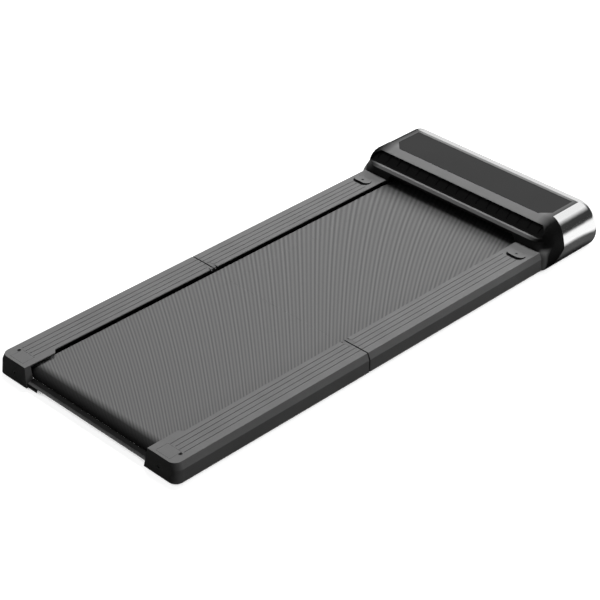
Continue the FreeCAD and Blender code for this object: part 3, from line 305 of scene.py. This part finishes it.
def rail_skin(shade=0.197, rough=0.55, level=0.2):
    """Rail covers: moulded grey, painted dark as shade in the narrow joint between the two halves."""
    graph = Graph(bpy.data.materials.new("rail_plastic"))
    away = graph.math("ABSOLUTE", graph.math("SUBTRACT", graph.axes()["Y"], SEAM_Y))
    mottle = graph.spread(graph.noise(MOTTLE, CLOUD_DETAIL), GRAIN_PLAY, 1.0)
    # painted shade: a dark line along the joint stands in for the shadow in the gap
    graph.tint(graph.times(graph.spread(away, JOINT_SHADE_SHARE, 1.0, *JOINT_SHADE_EDGE), mottle), grey(0.0), grey(shade))
    graph.moulded(graph.noise(GRAIN, GRAIN_DETAIL), rough, level)
    return graph.owner


def hood_skin(shade=0.222, rough=0.5, level=0.06):
    """Moulded hood with painted shade: its grey fades to black over its end caps and below its ledge, but not
    at its heels.
    """
    graph = Graph(bpy.data.materials.new("hood_plastic"))
    place = graph.axes()
    out = graph.math("ABSOLUTE", place["X"])
    # painted shade: grey fades to black towards the end caps, further at the far end, and below the ledge
    top = graph.times(graph.spread(out, 1.0, 0.0, *CAP_SHADE_EDGE),
                      graph.spread(place["X"], FAR_END_SHARE, 1.0, *FAR_END),
                      graph.spread(place["Z"], 0.0, 1.0, *LEDGE))
    # painted shade below the ledge keeps only a small share of grey, and none past the heels' sides
    shaded_apron = graph.times(graph.spread(out, APRON_SHADE_SHARE, 0.0, *HEEL_SIDE),
                        graph.spread(place["Z"], 1.0, 0.0, *LEDGE))
    # the rear-facing lower faces of the heels stay grey, spared from the painted shade
    heel = graph.times(graph.spread(out, 0.0, 1.0, *HEEL_SIDE),
                       graph.spread(place["Z"], 1.0, 0.0, *HEEL_HEIGHT),
                       graph.spread(graph.facing()["Y"], 1.0, 0.0, *HEEL_FACING))
    mottle = graph.spread(graph.noise(MOTTLE, CLOUD_DETAIL), GRAIN_PLAY, 1.0)
    graph.tint(graph.times(graph.most(top, shaded_apron, heel), mottle), grey(BLACK), grey(shade))
    graph.moulded(graph.noise(GRAIN, GRAIN_DETAIL), rough, level)
    return graph.owner


def buffer_skin(shade=0.187, rough=0.5, level=0.15):
    """Fold buffer: grey cap on a black body and skirt, the black being painted shade on all but its upward
    faces.
    """
    graph = Graph(bpy.data.materials.new("buffer_plastic"))
    # painted shade: only the upward faces above the rail stay grey, its sides and skirt are black
    cap = graph.times(graph.spread(graph.facing()["Z"], 0.0, 1.0, *BUFFER_SHADE_FACING),
                      graph.spread(graph.axes()["Z"], 0.0, 1.0, *BUFFER_SHADE_BASE))
    fine = graph.noise(GRAIN, GRAIN_DETAIL)
    graph.tint(graph.times(cap, graph.spread(fine, GRAIN_PLAY, 1.0)), grey(BLACK), grey(shade))
    graph.moulded(fine, rough, level)
    return graph.owner


def guard_skin(shade=0.092, rough=0.5, level=0.2):
    """Rear guard: dull grey strip, with painted shade making it black above the line where it turns in under
    the belt.
    """
    graph = Graph(bpy.data.materials.new("guard_plastic"))
    # painted shade: black above the line, where the belt's shadow falls
    strip = graph.spread(graph.axes()["Z"], 1.0, 0.0, *GUARD_SHADE_LINE)
    fine = graph.noise(GRAIN, GRAIN_DETAIL)
    graph.tint(graph.times(strip, graph.spread(fine, GRAIN_PLAY, 1.0)), grey(BLACK), grey(shade))
    graph.moulded(fine, rough, level)
    return graph.owner


def hinge_paint(dark=0.006, light=0.179, play=0.85, rough=0.51, level=0.2):
    """Hinge steel: grey on top like the rails, coated black below."""
    graph = Graph(bpy.data.materials.new("hinge_steel"))
    top = graph.spread(graph.axes()["Z"], 0.0, 1.0, *HINGE_TOP)
    peel = graph.noise(PEEL, GRAIN_DETAIL)
    graph.tint(graph.times(top, graph.spread(peel, play, 1.0)), grey(dark), grey(light))
    graph.rough(peel, rough - PEEL_PLAY, rough + PEEL_PLAY)
    graph.bump(peel, PEEL_BUMP, PEEL_DEPTH)
    graph.put(Specular_IOR_Level=level)
    return graph.owner


def rubber(name, shade, rough=0.75, play=0.06, shade_play=0.15, level=0.25):
    """Dull rubber with a fine grain."""
    graph = Graph(bpy.data.materials.new(name))
    fine = graph.noise(scale=600.0, detail=3.0)
    cloud = graph.spread(graph.noise(scale=25.0), 0.0, 1.0)
    graph.tint(cloud, grey(shade * (1 - shade_play)), grey(shade * (1 + shade_play)))
    graph.rough(fine, rough - play, rough + play)
    graph.bump(fine, strength=0.4, distance=0.0001)
    graph.put(Specular_IOR_Level=level)
    return graph.owner


def bright_metal(dark=0.80, light=0.86, smooth=0.09, dull=0.13):
    """Plated shell with a faint lengthwise polish."""
    graph = Graph(bpy.data.materials.new("bright_shell_metal"))
    polish = graph.noise(scale=60.0, detail=3.0, stretch=(0.4, 30.0, 30.0))
    graph.tint(graph.spread(polish, 0.0, 1.0), grey(dark), grey(light))
    graph.rough(polish, smooth, dull)
    graph.bump(polish, strength=0.03, distance=0.00003)
    graph.put(Metallic=1.0)
    return graph.owner


def panel_gloss(dark=0.0394, light=0.0413, smooth=0.40, dull=0.44, level=0.03):
    """Smooth dark panel with a faint haze and a very fine grain."""
    graph = Graph(bpy.data.materials.new("panel_gloss"))
    haze = graph.spread(graph.noise(scale=9.0, detail=2.0), 0.0, 1.0)
    graph.tint(haze, grey(dark), grey(light))
    graph.rough(graph.noise(scale=30.0, detail=3.0), smooth, dull)
    graph.bump(graph.noise(scale=300.0, detail=1.0), strength=0.01, distance=0.00001)
    graph.put(Specular_IOR_Level=level)
    return graph.owner


def brushed(name, shade, rough=0.34, smoother=0.06, duller=0.08, darker=0.15, lighter=0.1):
    """Bare metal with fine lines along X."""
    graph = Graph(bpy.data.materials.new(name))
    lines = graph.noise(scale=90.0, detail=4.0, stretch=(1.0, 40.0, 40.0))
    graph.tint(graph.spread(lines, 0.0, 1.0), grey(shade * (1 - darker)), grey(shade * (1 + lighter)))
    graph.rough(lines, rough - smoother, rough + duller)
    graph.bump(lines, strength=0.12, distance=0.00005)
    graph.put(Metallic=1.0)
    return graph.owner


def coated(name, shade, rough=0.42, play=0.1, level=0.4):
    """Powder-coated steel with a soft orange-peel skin."""
    graph = Graph(bpy.data.materials.new(name))
    peel = graph.noise(PEEL, GRAIN_DETAIL)
    cloud = graph.spread(graph.noise(scale=20.0), 0.0, 1.0)
    graph.tint(cloud, grey(shade * (1 - play)), grey(shade * (1 + play)))
    graph.rough(peel, rough - PEEL_PLAY, rough + PEEL_PLAY)
    graph.bump(peel, PEEL_BUMP, PEEL_DEPTH)
    graph.put(Specular_IOR_Level=level)
    return graph.owner


def deck_board(dark=(0.11, 0.075, 0.05), light=(0.19, 0.14, 0.10), smooth=0.45, dull=0.62):
    """Waxed fibre board."""
    graph = Graph(bpy.data.materials.new("deck_board"))
    fibre = graph.noise(scale=180.0, detail=5.0, stretch=(1.0, 0.2, 1.0))
    graph.tint(graph.spread(fibre, 0.0, 1.0), dark, light)
    graph.rough(fibre, smooth, dull)
    graph.bump(fibre, strength=0.2, distance=0.0001)
    return graph.owner


def circuit_board(dark=(0.012, 0.09, 0.035), light=(0.025, 0.15, 0.06), smooth=0.3, dull=0.45):
    """Lacquered board with faint traces."""
    graph = Graph(bpy.data.materials.new("circuit_board"))
    traces = graph.noise(scale=120.0, detail=6.0, stretch=(1.0, 3.0, 1.0))
    graph.tint(graph.spread(traces, 0.0, 1.0, start=0.45, stop=0.55), dark, light)
    graph.rough(traces, smooth, dull)
    graph.bump(traces, strength=0.2, distance=0.00008)
    return graph.owner


def belt_rubber(smooth=0.62, dull=0.76, level=0.25):
    """Walking belt: fine ribs that run aslant in shallow arcs, on a dull woven-backed sheet."""
    graph = Graph(bpy.data.materials.new("belt_rubber"))
    uv = graph.node("ShaderNodeUVMap", uv_map="run").outputs["UV"]
    run = graph.axes(uv)
    aside = run["X"]
    along = graph.math("ADD", run["Y"], SEAM_Y)
    rate_aside = graph.math("ADD", graph.times(aside, RIB_BEND_ASIDE), RIBS_ASIDE)
    rate_along = graph.math("ADD", graph.times(along, RIB_BEND_ALONG), RIBS_ALONG)
    across = graph.math("ADD", graph.times(aside, rate_aside), graph.times(along, rate_along))
    fine = graph.math("SINE", graph.times(across, 2 * math.pi))
    slow = graph.math("SINE", graph.times(across, 2 * math.pi / RIB_GROUP))
    depth = graph.math("ADD", graph.times(slow, RIB_SWAY), RIB_DEPTH)
    ribs = graph.math("ADD", graph.times(fine, depth), RIB_MIDDLE)
    grain = graph.noise(scale=700.0, detail=3.0, source=uv)
    # the colour follows the ribs as painted rib shading, lighter crests and darker hollows, mixed with the
    # rubber's own grain
    surface = graph.mixed(ribs, grain, RIB_SHARE)
    # painted shade darkens the belt towards both ends: under the hood at the front, over the rear roller at
    # the back
    end_shade = graph.times(graph.spread(run["Y"], 1.0, FRONT_DARK_SHARE, *FRONT_DARK),
                        graph.spread(run["Y"], 1.0, REAR_DARK_SHARE, *REAR_DARK))
    graph.tint(graph.times(graph.spread(surface, *BELT_SHADES, 0.0, 1.0), end_shade), grey(0.0), grey(1.0))
    graph.rough(surface, smooth, dull, 0.0, 1.0)
    graph.bump(surface, strength=0.25, distance=0.0003)
    graph.put(Specular_IOR_Level=level)
    return graph.owner


def make_materials():
    return {
        "rail_plastic": rail_skin(),
        "buffer_plastic": buffer_skin(),
        "hood_plastic": hood_skin(),
        "grille_plastic": moulded("grille_plastic", shade=0.0026, rough=0.6, level=0.08),
        "panel_gloss": panel_gloss(),
        "bright_shell": bright_metal(),
        "belt_rubber": belt_rubber(),
        "drive_rubber": rubber("drive_rubber", shade=0.02),
        "frame_paint": coated("frame_paint", shade=0.02),
        "guard_plastic": guard_skin(),
        "pan_plastic": moulded("pan_plastic", shade=0.035, rough=0.6, grain=500.0),
        "deck_wood": deck_board(),
        "foot_rubber": rubber("foot_rubber", shade=0.02),
        "hinge_steel": hinge_paint(),
        "bare_steel": brushed("bare_steel", shade=0.55),
        "screw_black": coated("screw_black", shade=0.012, rough=0.35),
        "motor_paint": coated("motor_paint", shade=0.03),
        "pulley_plastic": moulded("pulley_plastic", shade=0.04, rough=0.45),
        "circuit_board": circuit_board(),
        "sink_aluminium": brushed("sink_aluminium", shade=0.7, rough=0.4),
        "black_plastic": moulded("black_plastic", shade=0.018, rough=0.45),
        "rocker_plastic": moulded("rocker_plastic", shade=0.02, rough=0.28, level=0.5, grain=1500.0,
                                  depth=0.00002),
        "wheel_plastic": moulded("wheel_plastic", shade=0.03, rough=0.5),
    }


def belt_stations(end_y, side):
    """Points along half of the loop: distance from the seam, y, and the outward direction's y and z."""
    seam = SEAM_Y + side * SEAM_GAP
    span = abs(end_y - seam)
    steps = [index * FINE_STEP for index in range(FINE_COUNT)]
    steps += GROWING_STEPS
    while steps[-1] + WIDE_STEP < span - LEAST_STEP:
        steps.append(steps[-1] + WIDE_STEP)
    steps.append(span)
    arc = math.pi * BELT_OUTER
    points = [(step, seam + side * step, 0.0, 1.0) for step in steps]
    for index in range(1, ARC_COUNT):
        angle = math.pi * index / ARC_COUNT
        points.append((span + arc * index / ARC_COUNT, end_y, side * math.sin(angle), math.cos(angle)))
    points += [(2 * span + arc - step, seam + side * step, 0.0, -1.0) for step in reversed(steps)]
    return points


def belt_half(name, end_y, side):
    """Half of the walking belt as a closed skin with softly rounded edges."""
    columns = [step - BELT_HALF for step in EDGE_STEPS]
    columns += MIDDLE_COLUMNS
    columns += [BELT_HALF - step for step in reversed(EDGE_STEPS)]
    drops = [*EDGE_DROPS, *(0.0 for column in MIDDLE_COLUMNS), *reversed(EDGE_DROPS)]
    stations = belt_stations(end_y, side)
    vertices = []
    uvs = []
    for along, y, dy, dz in stations:
        for x, drop in zip(columns, drops):
            radius = BELT_OUTER - drop
            vertices.append((x, y + dy * radius, ROLLER_Z + dz * radius))
            uvs.append((x, side * along))
        for x in (BELT_HALF, -BELT_HALF):
            vertices.append((x, y + dy * BELT_INNER, ROLLER_Z + dz * BELT_INNER))
            uvs.append((x, side * along))
    ring = len(columns) + 2
    faces = []
    for row in range(len(stations) - 1):
        for column in range(ring):
            following = (column + 1) % ring
            a, b = row * ring + column, row * ring + following
            quad = (a, b, b + ring, a + ring)
            faces.append(quad if side > 0 else quad[::-1])
    first = tuple(range(ring))
    last = tuple(range((len(stations) - 1) * ring, len(stations) * ring))
    faces.append(first[::-1] if side > 0 else first)
    faces.append(last if side > 0 else last[::-1])
    mesh = bpy.data.meshes.new(name)
    mesh.from_pydata(vertices, [], faces)
    layer = mesh.uv_layers.new(name="run")
    for loop in mesh.loops:
        layer.data[loop.index].uv = uvs[loop.vertex_index]
    for face in mesh.polygons[:-2]:
        face.use_smooth = True
    mesh.update()
    piece = bpy.data.objects.new(name, mesh)
    bpy.context.scene.collection.objects.link(piece)
    return piece


def add_belt(material):
    """Both halves of the belt, shown in place of the model's own belt parts, which are hidden."""
    front = belt_half("belt_front_half", FRONT_ROLLER_Y, 1)
    rear = belt_half("belt_rear_half", REAR_ROLLER_Y, -1)
    for piece, node in ((front, "walking_belt_front"), (rear, "walking_belt_rear")):
        piece.data.materials.append(material)
        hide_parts(node)
    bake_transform(front)
    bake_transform(rear)


def dress_frame(materials):
    for name, node in nodes.items():
        node.data.materials.clear()
        node.data.materials.append(materials[slot_of[name]])


def floor_ring(graph):
    """Floor that polished metal mirrors: pale round the head, dark close to it and far off to its sides."""
    place = graph.axes()
    gaps = []
    for axis, half in FOOTPRINT.items():
        away = graph.math("SUBTRACT", graph.math("ABSOLUTE", place[axis]), half)
        gaps.append(graph.most(away, 0.0))
    squares = [graph.math("POWER", gap, 2.0) for gap in gaps]
    distance = graph.math("SQRT", graph.math("ADD", *squares))
    return graph.times(graph.spread(distance, 0.0, RING_SHARE, *RING_START),
                       graph.spread(gaps[0], 1.0, 0.0, *RING_STOP),
                       graph.spread(place["Y"], 0.0, 1.0, *RING_HEAD))


def add_floor():
    """Pale studio floor: near white to the eye, with painted shadow where the object covers it closely, dull
    to all else.
    """
    corners = [(-1, -1), (1, -1), (1, 1), (-1, 1)]
    mesh = bpy.data.meshes.new("studio_floor")
    mesh.from_pydata([(x * FLOOR_REACH, y * FLOOR_REACH, 0) for x, y in corners], [], [(0, 1, 2, 3)])
    floor = bpy.data.objects.new("studio_floor", mesh)
    bpy.context.scene.collection.objects.link(floor)
    floor.location.z = -FLOOR_DROP
    graph = Graph(bpy.data.materials.new("studio_floor"))
    path = graph.node("ShaderNodeLightPath").outputs
    cover = graph.node("ShaderNodeAmbientOcclusion", samples=COVER_SAMPLES)
    cover.inputs["Distance"].default_value = COVER_HEIGHT
    # painted shadow: the floor's glow fades where ambient occlusion finds the object close above
    bare = graph.spread(cover.outputs["AO"], 0.0, 1.0, *COVER_EDGE)
    seen = graph.most(path["Is Camera Ray"], path["Is Glossy Ray"], path["Is Transmission Ray"])
    shown = graph.most(graph.times(path["Is Camera Ray"], bare), graph.times(seen, floor_ring(graph)))
    dull, pale = FLOOR_SHADES
    graph.tint(shown, grey(dull), grey(pale))
    graph.link(graph.times(shown, FLOOR_GLOW), graph.shader.inputs["Emission Strength"])
    graph.put(Emission_Color=(1, 1, 1, 1), Roughness=1.0, Specular_IOR_Level=0.0)
    mesh.materials.append(graph.owner)


def add_world():
    """White behind the object, weak fill on it, and for metal a dark horizon with one pale card."""
    graph = Graph(bpy.data.worlds.new("studio"))
    bpy.context.scene.world = graph.owner
    background = graph.tree.nodes["Background"]
    path = graph.node("ShaderNodeLightPath").outputs
    toward = graph.axes(graph.node("ShaderNodeTexCoord").outputs["Generated"])
    sky = graph.times(graph.spread(toward["Z"], SKY_SHARE, 1.0, *SKY_RISE),
                      graph.spread(toward["X"], SIDE_SHARE, 1.0, *SIDE_EDGE))
    card = graph.times(graph.spread(toward["X"], 0.0, CARD_SHARE, *CARD_START),
                       graph.spread(toward["X"], 1.0, 0.0, *CARD_STOP))
    mirrored = graph.times(graph.most(sky, card), path["Is Glossy Ray"])
    graph.link(graph.most(mirrored, WORLD_FILL, path["Is Camera Ray"]), background.inputs["Strength"])
    background.inputs["Color"].default_value = (1, 1, 1, 1)


bpy.context.scene.view_settings.view_transform = "Standard"
add_camera()
materials = make_materials()
dress_frame(materials)
add_belt(materials["belt_rubber"])
add_floor()
add_world()
add_lamps()
